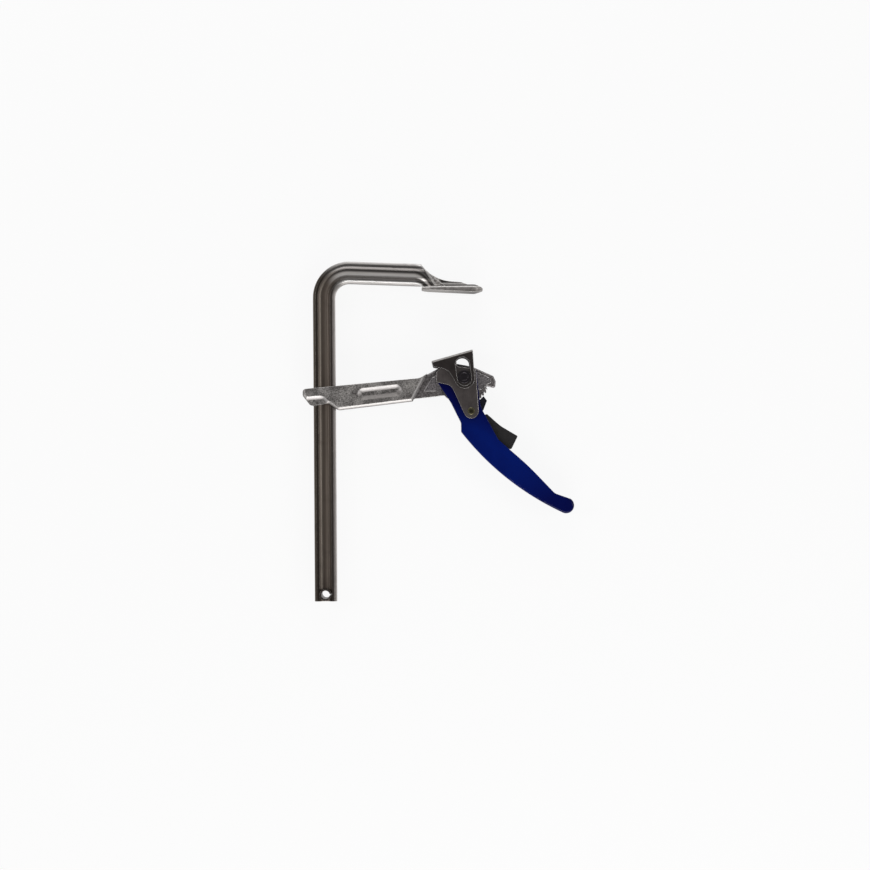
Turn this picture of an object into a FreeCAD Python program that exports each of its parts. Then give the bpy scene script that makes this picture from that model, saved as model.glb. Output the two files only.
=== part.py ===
import FreeCAD, Part
import math
import os
import re
import Sketcher

# Quick bar clamp, all steel, 250 mm class. Millimetres. The clamp lies on its side: the rail runs along Y,
# the jaws open along Y, and Z is the clamp's thickness. The origin is the middle of the fixed jaw's face.

doc = FreeCAD.newDocument("quick_bar_clamp")
sheet = doc.addObject("Spreadsheet::Sheet", "Sizes")

SIZES = {
    # rail: one drawn bar, bent over at the top and forged flat at its end
    "rail_width": 22.0,
    "rail_thickness": 10.5,
    "rail_drop": 308.2,
    "throat": 116.9,
    "bend_radius": 25.0,
    "top_arm_rise": 20.7,
    "top_arm_droop": 2.35,
    "groove_width": 12.4,
    "groove_floor": 7.0,
    "groove_depth": 2.0,
    "shoulder_in": 2.4,
    "shoulder_down": 2.1,
    # fixed jaw
    "jaw_length": 61.0,
    "jaw_width": 28.0,
    "jaw_blank": 8.0,
    "jaw_top": 4.3,
    "jaw_crown": 2.7,
    "crown_draft": 66.0,
    "jaw_toe": 2.6,
    "jaw_slope": 3.0,
    "jaw_corner": 11.0,
    "rib_length": 42.0,
    "rib_rise": 5.7,
    "rib_sweep": 40.0,
    "ridge_foot": 12.9,
    "ridge_lean": 33.0,
    # stop pin at the rail's foot
    "stop_pin_radius": 5.9,
    "stop_pin_bore": 4.1,
    "stop_pin_up": 7.0,
    "stop_pin_length": 18.4,
    "stop_pin_slit": 1.4,
    # sliding arm
    "arm_thickness": 18.0,
    "arm_back": 21.6,
    "arm_slope": 4.9,
    "arm_top": 2.75,
    "arm_depth": 24.5,
    "arm_taper": 3.6,
    "rail_fit": 0.35,
    "foot_depth": 2.5,
    "foot_draft": 56.0,
    "forging_bevel": 2.6,
    "blade_bevel": 1.1,
    "web_recess": 0.8,
    "trough_length": 44.0,
    "trough_height": 12.0,
    "trough_depth": 2.4,
    "trough_draft": 60.0,
    "neck_reach": 36.0,
    "blade_thickness": 8.0,
    # pressure head, measured from the main pin
    "main_reach": 11.4,
    "main_drop": 85.2,
    "main_pin_radius": 5.0,
    "pin_fit": 0.05,
    "head_radius": 6.6,
    "sector_radius": 27.0,
    "tooth_depth": 2.5,
    "tooth_pitch": 8.0,
    "tooth_count": 10.0,
    "tooth_start": 29.0,
    # lever
    "side_gap": 0.3,
    "lever_sheet": 3.0,
    "lever_fold": 2.8,
    "grip_curve": 273.0,
    "grip_swell": 1.3,
    "tip_across": 100.9,
    "tip_drop": 128.8,
    "tip_radius": 8.0,
    "dip_back": 11.1,
    "dip_up": 12.0,
    "thumb_across": 33.5,
    "thumb_drop": 62.7,
    "waist_drop": 55.0,
    # cam plates
    "cam_sheet": 3.0,
    "wing_reach": 27.3,
    "lobe_radius_low": 20.4,
    "lobe_radius_high": 22.3,
    "cam_tip": 7.4,
    "rivet_across": 6.8,
    "rivet_drop": 34.2,
    "rivet_radius": 2.8,
    "rivet_head": 3.7,
    "rivet_dome": 1.0,
    # pawl and release trigger
    "pawl_hub": 6.0,
    "pawl_gap": 0.35,
    "pawl_tail": 4.4,
    "trigger_reach": 52.0,
    "trigger_sheet": 1.5,
    "trigger_pin_radius": 1.5,
    "spring_wire": 1.0,
    "spring_leg": 18.0,
    # pressure shoe
    "shoe_tilt": 15.4,
    "shoe_length": 42.6,
    "shoe_right": 15.5,
    "shoe_web": 3.0,
    "shoe_height": 23.7,
    "shoe_sheet": 3.5,
    "shoe_fold": 3.0,
    "ear_radius": 10.0,
    "slot_fit": 0.3,
    "slot_lean": 8.0,
    "slot_low": 2.0,
    "slot_high": 13.6,
}
for row, (word, size) in enumerate(SIZES.items(), start=1):
    sheet.set(f"A{row}", word)
    sheet.set(f"B{row}", str(size))
    sheet.setAlias(f"B{row}", word)
doc.recompute()


def size(word):
    """One driving dimension as the sheet holds it."""
    return float(sheet.get(word))


def cells(text):
    """Write a formula of size names as an expression on the sheet."""
    return re.sub(r"[a-z][a-z_0-9]*", lambda w: "Sizes." + w[0] if w[0] in SIZES else w[0], text)


def value(text):
    """The number that a formula of size names gives."""
    if isinstance(text, (int, float)):
        return float(text)
    return float(sheet.evalExpression(cells(text)))


def bind(thing, prop, text):
    thing.setExpression(prop, cells(text))


# Places that several pieces share, as formulas of the sizes above
RAIL_X = "(-throat - rail_width / 2)"
HALF_ARM = "(arm_thickness / 2)"
CHEEK_IN = "(blade_thickness / 2 + side_gap)"
CHEEK_OUT = "(blade_thickness / 2 + side_gap + lever_sheet)"
CAM_OUT = "(blade_thickness / 2 + side_gap + lever_sheet + cam_sheet)"
EAR_IN = "(blade_thickness / 2 + 2 * side_gap + lever_sheet + cam_sheet)"
EAR_OUT = "(blade_thickness / 2 + 2 * side_gap + lever_sheet + cam_sheet + shoe_sheet)"

nodes = []


def named(thing, label):
    """Label a sub-part; the label is also its file's name."""
    thing.Label = label
    nodes.append(thing)
    return thing


def place(thing, x="0", y="0", z="0", turn="0"):
    """Put a sub-part at its place, turned about Z, bound to the sheet."""
    bind(thing, "Placement.Base.x", x)
    bind(thing, "Placement.Base.y", y)
    bind(thing, "Placement.Base.z", z)
    thing.Placement.Rotation = FreeCAD.Rotation(FreeCAD.Vector(0, 0, 1), 0)
    if turn != "0":
        bind(thing, "Placement.Rotation.Angle", turn)


def body(label):
    return named(doc.addObject("PartDesign::Body", label), label)


def origin_plane(owner, role):
    return next(f for f in owner.Origin.OriginFeatures if f.Role == role)


def new_sketch(owner, name, role="XY_Plane", offset=None):
    """A sketch on one of the body's own origin planes."""
    sketch = owner.newObject("Sketcher::SketchObject", name)
    sketch.AttachmentSupport = [(origin_plane(owner, role), "")]
    sketch.MapMode = "FlatFace"
    if offset is not None:
        sketch.AttachmentOffset = offset
    return sketch


def fix_point(sketch, geometry, end, corner):
    """Pin one point at its coordinates; a coordinate given as a formula stays bound to the sheet."""
    for kind, coordinate in (("DistanceX", corner[0]), ("DistanceY", corner[1])):
        index = sketch.addConstraint(Sketcher.Constraint(kind, -1, 1, geometry, end, value(coordinate)))
        if isinstance(coordinate, str):
            bind(sketch, f"Constraints[{index}]", coordinate)


def outline(sketch, corners, closed=True):
    """Draw an outline. A corner is (x, y), or (x, y, "round", radius), or, where an arc runs
    from it to the next corner, (x, y, "ccw" or "cw", radius)."""
    count = len(corners)
    points = [FreeCAD.Vector(value(c[0]), value(c[1]), 0) for c in corners]
    trims = []
    for i, corner in enumerate(corners):
        trim = None
        if len(corner) == 4 and corner[2] == "round":
            radius = value(corner[3])
            back = (points[i - 1] - points[i]).normalize()
            ahead = (points[(i + 1) % count] - points[i]).normalize()
            half = back.getAngle(ahead) / 2
            reach = radius / math.tan(half)
            middle = (back + ahead).normalize() * (radius / math.sin(half))
            trim = (points[i] + back * reach, points[i] + ahead * reach, points[i] + middle, radius)
        trims.append(trim)
    edges = []
    for i, corner in enumerate(corners):
        j = (i + 1) % count
        start = trims[i][1] if trims[i] else points[i]
        end = trims[j][0] if trims[j] else points[j]
        if trims[i]:
            edges.append(("fillet", i, add_arc(sketch, trims[i][0], trims[i][1], trims[i][2])))
        if not closed and i == count - 1:
            break
        if len(corner) == 4 and corner[2] in ("ccw", "cw"):
            radius = value(corner[3])
            chord = end - start
            side = FreeCAD.Vector(-chord.y, chord.x, 0).normalize()
            height = math.sqrt(max(radius ** 2 - (chord.Length / 2) ** 2, 0))
            centre = (start + end) * 0.5 + side * (height if corner[2] == "ccw" else -height)
            edges.append(("arc", i, add_arc(sketch, start, end, centre)))
        else:
            line = sketch.addGeometry(Part.LineSegment(start, end), False)
            edges.append(("line", i, (line, 1, 2)))
    for k, (kind, i, (geometry, first, last)) in enumerate(edges):
        following = edges[(k + 1) % len(edges)]
        joined = (geometry, last, following[2][0], following[2][1])
        if not closed and k == len(edges) - 1:
            fix_point(sketch, geometry, last, corners[-1])
        elif kind == "fillet" or following[0] == "fillet":
            sketch.addConstraint(Sketcher.Constraint("Tangent", *joined))
        else:
            sketch.addConstraint(Sketcher.Constraint("Coincident", *joined))
        if kind == "fillet":
            apex = sketch.addGeometry(Part.Point(points[i]), True)
            fix_point(sketch, apex, 1, corners[i])
            for line in (edges[k - 1][2][0], following[2][0]):
                sketch.addConstraint(Sketcher.Constraint("PointOnObject", apex, 1, line))
        elif edges[k - 1][0] != "fillet":
            fix_point(sketch, geometry, first, corners[i])
        if kind != "line":
            radius = corners[i][3]
            index = sketch.addConstraint(Sketcher.Constraint("Radius", geometry, value(radius)))
            if isinstance(radius, str):
                bind(sketch, f"Constraints[{index}]", radius)


def add_arc(sketch, start, end, centre):
    """Add the shorter arc from start to end; returns it with the numbers of its first and last ends."""
    arm = start - centre
    other = end - centre
    first = math.atan2(arm.y, arm.x)
    last = math.atan2(other.y, other.x)
    turn = (last - first) % (2 * math.pi)
    circle = Part.Circle(centre, FreeCAD.Vector(0, 0, 1), arm.Length)
    if turn <= math.pi:
        return sketch.addGeometry(Part.ArcOfCircle(circle, first, first + turn), False), 1, 2
    return sketch.addGeometry(Part.ArcOfCircle(circle, last, last + 2 * math.pi - turn), False), 2, 1


def circle(sketch, x, y, radius):
    """A full circle, bound like an outline."""
    centre = FreeCAD.Vector(value(x), value(y), 0)
    geometry = sketch.addGeometry(Part.Circle(centre, FreeCAD.Vector(0, 0, 1), value(radius)), False)
    if x == "0" and y == "0":
        sketch.addConstraint(Sketcher.Constraint("Coincident", geometry, 3, -1, 1))
    else:
        fix_point(sketch, geometry, 3, (x, y))
    index = sketch.addConstraint(Sketcher.Constraint("Radius", geometry, value(radius)))
    bind(sketch, f"Constraints[{index}]", radius)


def pad(owner, sketch, name, length, both=True, backwards=False):
    """Raise a sketch; both means to the same height on either side of its plane."""
    feature = owner.newObject("PartDesign::Pad", name)
    feature.Profile = sketch
    feature.SideType = "Symmetric" if both else "One side"
    feature.Reversed = backwards
    bind(feature, "Length", length)
    return feature


def pocket(owner, sketch, name, length, both=True, backwards=False):
    """Cut a sketch out of the body, and stop if it took nothing away."""
    doc.recompute()
    before = owner.Shape.Volume
    feature = owner.newObject("PartDesign::Pocket", name)
    feature.Profile = sketch
    feature.SideType = "Symmetric" if both else "One side"
    feature.Reversed = backwards
    bind(feature, "Length", length)
    doc.recompute()
    if owner.Shape.Volume >= before - 1e-6:
        raise RuntimeError(f"{name} cuts nothing")
    return feature


def soften(owner, name, kind, length, wanted):
    """Fillet or chamfer the edges of the body that wanted() accepts."""
    doc.recompute()
    base = owner.Tip
    chosen = [f"Edge{n}" for n, edge in enumerate(base.Shape.Edges, start=1) if wanted(edge)]
    feature = owner.newObject(f"PartDesign::{kind}", name)
    feature.Base = (base, chosen)
    bind(feature, "Radius" if kind == "Fillet" else "Size", length)
    return feature


def at_height(edge, height):
    """Whether an edge lies flat at a height on either side of the middle plane."""
    box = edge.BoundBox
    flat = box.ZLength < 1e-4
    return flat and abs(abs(box.ZMin) - height) < 1e-4


def cylinder(label, radius, bottom, top, x="0", y="0"):
    """An upright round bar from one height to another."""
    bar = doc.addObject("Part::Cylinder", label)
    bind(bar, "Radius", radius)
    bind(bar, "Height", f"({top}) - ({bottom})")
    place(bar, x, y, bottom)
    return bar


def join(label, *pieces):
    whole = doc.addObject("Part::MultiFuse", label)
    whole.Shapes = list(pieces)
    whole.Refine = True
    return named(whole, label)


# Rail: a drawn bar with a groove down both wide faces, bent over at the top. Its end is the fixed jaw, forged out
# into a flat plate whose upper side is crowned.

RIDGE_X = "(ridge_foot - jaw_length / 2)"
RIDGE_Y = "(jaw_top + 2.7)"
BAR_END = f"({RIDGE_X} + 3)"
BAR_TIP = f"(top_arm_rise - ({BAR_END} - {RAIL_X}) * tan(top_arm_droop * 1deg))"
BAR_HIGH = f"({BAR_TIP} + rail_width / 2)"
BAR_LOW = f"({BAR_TIP} - rail_width / 2)"

rail = body("rail")
place(rail)
plate = new_sketch(rail, "jaw_plan", "XZ_Plane", FreeCAD.Placement(
    FreeCAD.Vector(0, 0, 0), FreeCAD.Rotation(FreeCAD.Vector(0, 1, 0), -size("jaw_slope"))))
bind(plate, "AttachmentOffset.Rotation.Angle", "-jaw_slope")
outline(plate, [
    ("-jaw_length / 2", "-jaw_width / 2", "round", "jaw_corner"),
    ("jaw_length / 2", "-jaw_width / 2", "round", "jaw_corner"),
    ("jaw_length / 2", "jaw_width / 2", "round", "jaw_corner"),
    ("-jaw_length / 2", "jaw_width / 2", "round", "jaw_corner"),
])
pad(rail, plate, "jaw_plate", "jaw_blank", both=False, backwards=True)

upper = new_sketch(rail, "jaw_upper_side")
outline(upper, [
    ("-jaw_length", "jaw_top"),
    ("jaw_length / 2 - 12", "jaw_top"),
    ("jaw_length / 2 + 2", "jaw_top - 1.6"),
    ("jaw_length / 2 + 2", "2 * jaw_blank"),
    ("-jaw_length", "2 * jaw_blank"),
])
pocket(rail, upper, "jaw_wedge", "2 * jaw_width")

toe = new_sketch(rail, "jaw_toe_side")
TOE_START = "(jaw_length / 2 - 8)"
TOE_END = "(jaw_length / 2 + 1)"
outline(toe, [
    (TOE_START, f"-{TOE_START} * tan(jaw_slope * 1deg)"),
    (TOE_START, f"-{TOE_START} * tan(jaw_slope * 1deg) - jaw_toe"),
    (TOE_END, f"-{TOE_START} * tan(jaw_slope * 1deg) - jaw_toe"),
    (TOE_END, f"-{TOE_END} * tan(jaw_slope * 1deg) + jaw_toe"),
])
pocket(rail, toe, "jaw_toe", "2 * jaw_width")

crown = new_sketch(rail, "jaw_crown_plan", "XZ_Plane")
bind(crown, "AttachmentOffset.Base.z", "0.3 - jaw_top")
CROWN_LEFT = "(2.4 - jaw_length / 2)"
CROWN_RIGHT = "(jaw_length / 2 - 0.6)"
CROWN_HALF = "(jaw_width / 2 - 0.5)"
outline(crown, [
    (CROWN_LEFT, f"-{CROWN_HALF}", "round", "jaw_corner - 0.5"),
    (CROWN_RIGHT, f"-{CROWN_HALF}", "round", "jaw_corner - 0.5"),
    (CROWN_RIGHT, CROWN_HALF, "round", "jaw_corner - 0.5"),
    (CROWN_LEFT, CROWN_HALF, "round", "jaw_corner - 0.5"),
])
crown_pad = pad(rail, crown, "jaw_crown", "jaw_crown", both=False, backwards=True)
bind(crown_pad, "TaperAngle", "-crown_draft")

bar_section = new_sketch(rail, "rail_section", "XZ_Plane")
bind(bar_section, "AttachmentOffset.Base.z", "rail_drop")
half = "rail_width / 2"
deep = "rail_thickness / 2"
right_edge = [
    (f"{RAIL_X} + groove_floor / 2", f"{deep} - groove_depth"),
    (f"{RAIL_X} + groove_width / 2", deep),
    (f"{RAIL_X} + {half} - shoulder_in", deep),
    (f"{RAIL_X} + {half}", f"{deep} - shoulder_down"),
    (f"{RAIL_X} + {half}", f"-({deep} - shoulder_down)"),
    (f"{RAIL_X} + {half} - shoulder_in", f"-{deep}"),
    (f"{RAIL_X} + groove_width / 2", f"-{deep}"),
    (f"{RAIL_X} + groove_floor / 2", f"-({deep} - groove_depth)"),
]
left_edge = [(x.replace(f"{RAIL_X} +", f"{RAIL_X} -").replace("- shoulder_in", "+ shoulder_in"), y)
             for x, y in reversed(right_edge)]
outline(bar_section, right_edge + left_edge)
spine = new_sketch(rail, "rail_path")
outline(spine, [
    (RAIL_X, "-rail_drop"),
    (RAIL_X, "top_arm_rise", "round", "bend_radius"),
    (BAR_END, BAR_TIP),
], closed=False)
bar = rail.newObject("PartDesign::AdditivePipe", "rail_bar")
bar.Profile = bar_section
bar.Spine = spine

# The bar keeps its grooves up to a leaning ridge. There it runs out along the jaw as a rib with two flanks.


def on_ridge(y):
    """The place on the ridge at a height above the jaw's face."""
    return f"{RIDGE_X} - (({y}) - {RIDGE_Y}) * tan(ridge_lean * 1deg)", y


ridge_over = on_ridge(f"{BAR_HIGH} + 4")
ridge_under = on_ridge(f"{BAR_LOW} - 0.6")
mitre = new_sketch(rail, "bar_mitre")
outline(mitre, [
    ridge_over,
    ridge_under,
    (f"{BAR_END} + 2", ridge_under[1]),
    (f"{BAR_END} + 2", ridge_over[1]),
])
pocket(rail, mitre, "bar_cut_off", "rail_thickness")

RIB_TIP = "(rib_length - jaw_length / 2)"
rib = new_sketch(rail, "rib_outline")
outline(rib, [
    (f"{RIDGE_X} - 12", f"{BAR_LOW} + 0.6"),
    (f"{RIDGE_X} - 8", "jaw_top - 1.5"),
    (RIB_TIP, "jaw_top - 1.5"),
    (f"{RIB_TIP} + 3.5", "jaw_top + 0.5"),
    (f"{RIB_TIP} + 3.5", "jaw_top + jaw_crown + 0.1"),
    (f"{RIB_TIP} - 2.5", "jaw_top + rib_rise - 0.7"),
    ("0", "jaw_top + rib_rise", "cw", "rib_sweep"),
    on_ridge(f"{BAR_HIGH} + 0.5"),
    on_ridge(f"{BAR_LOW} + 0.6"),
])
pad(rail, rib, "jaw_rib", "rail_thickness")

flank_root = new_sketch(rail, "flank_root", "YZ_Plane", FreeCAD.Placement(
    FreeCAD.Vector(0, 0, 0), FreeCAD.Rotation(FreeCAD.Vector(0, 1, 0), size("ridge_lean"))))
bind(flank_root, "AttachmentOffset.Base.x", RIDGE_Y)
bind(flank_root, "AttachmentOffset.Base.z", RIDGE_X)
bind(flank_root, "AttachmentOffset.Rotation.Angle", "ridge_lean")
FLANK_HIGH = f"(({BAR_HIGH} - {RIDGE_Y} - 4.5) / cos(ridge_lean * 1deg))"
outline(flank_root, [
    ("-4", "-rail_thickness * 0.485"),
    (FLANK_HIGH, "-rail_thickness * 0.485"),
    (FLANK_HIGH, "rail_thickness * 0.485"),
    ("-4", "rail_thickness * 0.485"),
])
flank_tip = new_sketch(rail, "flank_tip", "YZ_Plane")
FLANK_END = f"({RIDGE_X} + 11.6)"
bind(flank_tip, "AttachmentOffset.Base.z", FLANK_END)
FLANK_FLOOR = f"(1 - {FLANK_END} * tan(jaw_slope * 1deg))"
outline(flank_tip, [
    (FLANK_FLOOR, "1 - jaw_width / 2"),
    ("jaw_top - 0.2", "1 - jaw_width / 2"),
    ("jaw_top - 0.2", "jaw_width / 2 - 1"),
    (FLANK_FLOOR, "jaw_width / 2 - 1"),
])
flank = rail.newObject("PartDesign::AdditiveLoft", "jaw_flanks")
flank.Profile = flank_root
flank.Sections = [flank_tip]
flank.Ruled = True

pin_hole = new_sketch(rail, "stop_pin_hole")
circle(pin_hole, RAIL_X, "stop_pin_up - rail_drop", "stop_pin_radius")
pocket(rail, pin_hole, "stop_pin_seat", "2 * rail_thickness")

# Stop pin: a slit spring pin driven through the rail's foot, so that the arm can't drop off.

STOP_Y = "stop_pin_up - rail_drop"
stop_wall = cylinder("stop_pin_wall", "stop_pin_radius", "-stop_pin_length / 2", "stop_pin_length / 2",
                     RAIL_X, STOP_Y)
stop_bore = cylinder("stop_pin_hollow", "stop_pin_bore", "-stop_pin_length", "stop_pin_length",
                     RAIL_X, STOP_Y)
slit = doc.addObject("Part::Box", "stop_pin_gap")
bind(slit, "Length", "2 * stop_pin_radius")
bind(slit, "Width", "stop_pin_slit")
bind(slit, "Height", "2 * stop_pin_length")
place(slit, RAIL_X, f"{STOP_Y} - stop_pin_slit / 2", "-stop_pin_length")
stop_void = doc.addObject("Part::MultiFuse", "stop_pin_void")
stop_void.Shapes = [stop_bore, slit]
stop_pin = doc.addObject("Part::Cut", "stop_pin")
stop_pin.Base = stop_wall
stop_pin.Tool = stop_void
named(stop_pin, "stop_pin")

# Sliding arm: a steel forging with a window for the rail at one end and a thin toothed blade at the other.

MAIN = ("main_reach", "-main_drop")
ARM_RAIL = "(-throat - rail_width / 2 - main_reach)"
ARM_BACK = f"({ARM_RAIL} - arm_back)"
NECK_TOP = "(-neck_reach - 1)"
NECK_FOOT = "(-neck_reach - 15.5)"
TOP_LINE = "(arm_top + ({x}) * tan(arm_slope * 1deg))"
FOOT_LINE = "(arm_top - arm_depth + arm_taper * (1 - ({x}) / ({back})) + ({x}) * tan(arm_slope * 1deg))"


def top_of_arm(x):
    return TOP_LINE.format(x=x)


def foot_of_arm(x):
    return FOOT_LINE.format(x=x, back=f"({ARM_RAIL} + 13.6)")


arm = body("sliding_arm")
place(arm, *MAIN)
arm_side = new_sketch(arm, "arm_outline")
LUG_RIGHT = f"({ARM_RAIL} + 13.6)"
outline(arm_side, [
    (ARM_BACK, f"{top_of_arm(ARM_BACK)} - 3", "cw", "3.6"),
    (f"{ARM_BACK} + 3", f"{top_of_arm(ARM_BACK)} + 0.1"),
    (f"{NECK_TOP} - 7", top_of_arm(f"{NECK_TOP} - 7"), "round", "12"),
    (NECK_TOP, "3.4"),
    (NECK_FOOT, foot_of_arm(NECK_FOOT)),
    (LUG_RIGHT, foot_of_arm(LUG_RIGHT), "round", "4"),
    (f"{ARM_RAIL} + 4", f"{foot_of_arm(LUG_RIGHT)} + 7", "round", "4"),
    (f"{ARM_BACK} + 8", f"{foot_of_arm(LUG_RIGHT)} + 4.4", "round", "4"),
    (ARM_BACK, f"{top_of_arm(ARM_BACK)} - 6.8", "round", "4"),
])
pad(arm, arm_side, "arm_forging", "arm_thickness")

arm_middle = value(top_of_arm(f"({ARM_RAIL}) / 2")) - size("arm_depth") / 2


def below_arm(edge):
    """The neck's edges and those along the foot of the forging, which run on round the lug."""
    middle = edge.CenterOfMass
    on_neck = middle.x > value(NECK_FOOT) and edge.BoundBox.YLength > 10
    along_foot = middle.y < arm_middle and edge.Length > 30
    return at_height(edge, value(HALF_ARM)) and (on_neck or along_foot)


soften(arm, "forging_bevel", "Chamfer", "forging_bevel", below_arm)

blade = new_sketch(arm, "blade_outline")
SECTOR_END = 137.0
START_COS = "sector_radius * cos(tooth_start * 1deg)"
START_SIN = "-sector_radius * sin(tooth_start * 1deg)"
outline(blade, [
    ("-neck_reach - 20", "-3.6"),
    ("-neck_reach - 6", "0", "round", "12"),
    ("-14.4", "14.4", "round", "2.5"),
    ("8", "10.3", "round", "6"),
    ("sector_radius + 2.2", "0.7", "round", "1.8"),
    ("sector_radius + 4.6", "-4.6", "round", "2.4"),
    ("sector_radius + 4.0", "-11.4", "round", "1.8"),
    ("sector_radius - 5.5", "-9.2", "round", "0.8"),
    (START_COS, START_SIN, "cw", "sector_radius"),
    (f"sector_radius * cos({SECTOR_END} * 1deg)", f"-sector_radius * sin({SECTOR_END} * 1deg)"),
    ("-neck_reach - 20", "-22.3"),
])
pad(arm, blade, "blade", "blade_thickness")


def on_hook(edge):
    """The blade's upper edge out to the hook."""
    middle = edge.CenterOfMass
    return (at_height(edge, size("blade_thickness") / 2) and middle.y > 0 and middle.x > 0
            and edge.Length > 15)


soften(arm, "blade_bevel", "Chamfer", "blade_bevel", on_hook)

gap = new_sketch(arm, "tooth_gap")
root = "(sector_radius - tooth_depth)"
outside = "(sector_radius + 1.5)"
gap_end = "(tooth_start + tooth_pitch * 0.97) * 1deg"
outline(gap, [
    (f"{root} * cos(tooth_start * 1deg)", f"-{root} * sin(tooth_start * 1deg)"),
    (f"{outside} * cos(tooth_start * 1deg)", f"-{outside} * sin(tooth_start * 1deg)"),
    (f"{outside} * cos({gap_end})", f"-{outside} * sin({gap_end})"),
])
first_gap = pocket(arm, gap, "first_gap", "blade_thickness * 1.5")
teeth = arm.newObject("PartDesign::PolarPattern", "ratchet_teeth")
teeth.Originals = [first_gap]
teeth.Axis = (origin_plane(arm, "Z_Axis"), [""])
teeth.Reversed = True
bind(teeth, "Angle", "tooth_pitch * (tooth_count - 1)")
bind(teeth, "Occurrences", "tooth_count")
arm.Tip = teeth

# The blade's web is sunk on both sides within a raised border, at the neck and in the hook
webs = new_sketch(arm, "web_outline")
bind(webs, "AttachmentOffset.Base.z", "blade_thickness / 2")
outline(webs, [
    ("-neck_reach - 2.4", "-11.3", "round", "1"),
    ("4.5 - neck_reach", "-0.7", "round", "2"),
    ("-14", "8"),
    ("-14", "-13.9"),
    ("-neck_reach - 4", "-13.9"),
])
outline(webs, [
    ("12", "-12.5"),
    ("12", "5.2"),
    ("sector_radius - 2.1", "-1.0", "round", "1.2"),
    ("sector_radius + 0.2", "-5.8", "round", "1.2"),
    ("sector_radius - 4.6", "-7.6"),
    ("sector_radius - 9.5", "-12.5"),
])
web_front = pocket(arm, webs, "web_front", "web_recess", both=False)
web_rear = arm.newObject("PartDesign::Mirrored", "web_rear")
web_rear.Originals = [web_front]
web_rear.MirrorPlane = (origin_plane(arm, "XY_Plane"), [""])
arm.Tip = web_rear

lug_foot = new_sketch(arm, "lug_foot_outline")
bind(lug_foot, "AttachmentOffset.Base.z", HALF_ARM)
FOOT_Y = f"({top_of_arm(ARM_BACK)} - 7.45)"
outline(lug_foot, [
    (f"{ARM_BACK} - 12", f"{FOOT_Y} - 2"),
    (f"{ARM_BACK} + 1.5", f"{FOOT_Y} - 0.4", "round", "8"),
    (f"{ARM_BACK} + 21", f"{FOOT_Y} + 0.9", "round", "8"),
    (f"{ARM_BACK} + 33.5", f"{FOOT_Y} - 14"),
    (f"{ARM_BACK} + 33.5", f"{FOOT_Y} - 40"),
    (f"{ARM_BACK} - 12", f"{FOOT_Y} - 40"),
])
foot_front = pocket(arm, lug_foot, "lug_foot_front", "foot_depth", both=False)
bind(foot_front, "TaperAngle", "-foot_draft")
foot_rear = arm.newObject("PartDesign::Mirrored", "lug_foot_rear")
foot_rear.Originals = [foot_front]
foot_rear.MirrorPlane = (origin_plane(arm, "XY_Plane"), [""])
arm.Tip = foot_rear

window = new_sketch(arm, "rail_window", "XZ_Plane")
window_left = f"{ARM_RAIL} - rail_width / 2 - rail_fit"
window_right = f"{ARM_RAIL} + rail_width / 2 + rail_fit"
window_front = "rail_thickness / 2 + rail_fit"
outline(window, [
    (window_left, f"-({window_front})"),
    (window_right, f"-({window_front})"),
    (window_right, window_front),
    (window_left, window_front),
])
pocket(arm, window, "window", "6 * arm_depth")

main_hole = new_sketch(arm, "main_hole")
circle(main_hole, "0", "0", "main_pin_radius + pin_fit")
pocket(arm, main_hole, "pin_bore", "2 * blade_thickness")

# A hollow with sloping sides lightens the forging on both faces
trough = new_sketch(arm, "trough_outline")
bind(trough, "AttachmentOffset.Base.z", HALF_ARM)
TROUGH_X = f"({ARM_RAIL} + 55.2)"
lean = math.radians(size("arm_slope") + 1.2)
trough_corners = []
for across, up in ((-0.5, -0.5), (0.5, -0.5), (0.5, 0.5), (-0.5, 0.5)):
    x = across * size("trough_length")
    y = up * size("trough_height")
    trough_corners.append((value(TROUGH_X) + x * math.cos(lean) - y * math.sin(lean),
                           -14.9 + x * math.sin(lean) + y * math.cos(lean), "round", "trough_height * 0.48"))
outline(trough, trough_corners)
trough_front = pocket(arm, trough, "trough_front", "trough_depth", both=False)
bind(trough_front, "TaperAngle", "-trough_draft")
trough_rear = arm.newObject("PartDesign::Mirrored", "trough_rear")
trough_rear.Originals = [trough_front]
trough_rear.MirrorPlane = (origin_plane(arm, "XY_Plane"), [""])
arm.Tip = trough_rear

# Lever: one steel sheet folded into a channel; its two cheeks reach up round the blade to the main pin.

lever = body("lever")
place(lever, *MAIN)
grip_start = FreeCAD.Vector(-3.2, -size("waist_drop"), 0)
tip_centre = FreeCAD.Vector(size("tip_across"), -size("tip_drop"), 0)
TIP_HEADING = math.radians(-29)
tip_along = FreeCAD.Vector(math.cos(TIP_HEADING), math.sin(TIP_HEADING), 0)
tip_out = FreeCAD.Vector(math.sin(TIP_HEADING), -math.cos(TIP_HEADING), 0)
sheet_gauge = size("lever_sheet")


def grip_back(inset):
    """Start and end of the grip's curved back, moved in by a distance, and its radius there."""
    tip_radius = size("tip_radius") - inset
    end = tip_centre + tip_out * tip_radius
    chord = tip_centre + tip_out * size("tip_radius") - grip_start
    sag_turn = math.asin(chord.Length / 2 / size("grip_curve"))
    heading = math.atan2(chord.y, chord.x) - sag_turn
    inward = FreeCAD.Vector(-math.sin(heading), math.cos(heading), 0)
    return grip_start + inward * inset, end, size("grip_curve") - inset


def round_tip(angle, radius):
    """A point round the tip, its angle counted from the lever's end towards its open side."""
    turn = math.radians(angle)
    return tip_centre + tip_along * (radius * math.cos(turn)) - tip_out * (radius * math.sin(turn))


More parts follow.
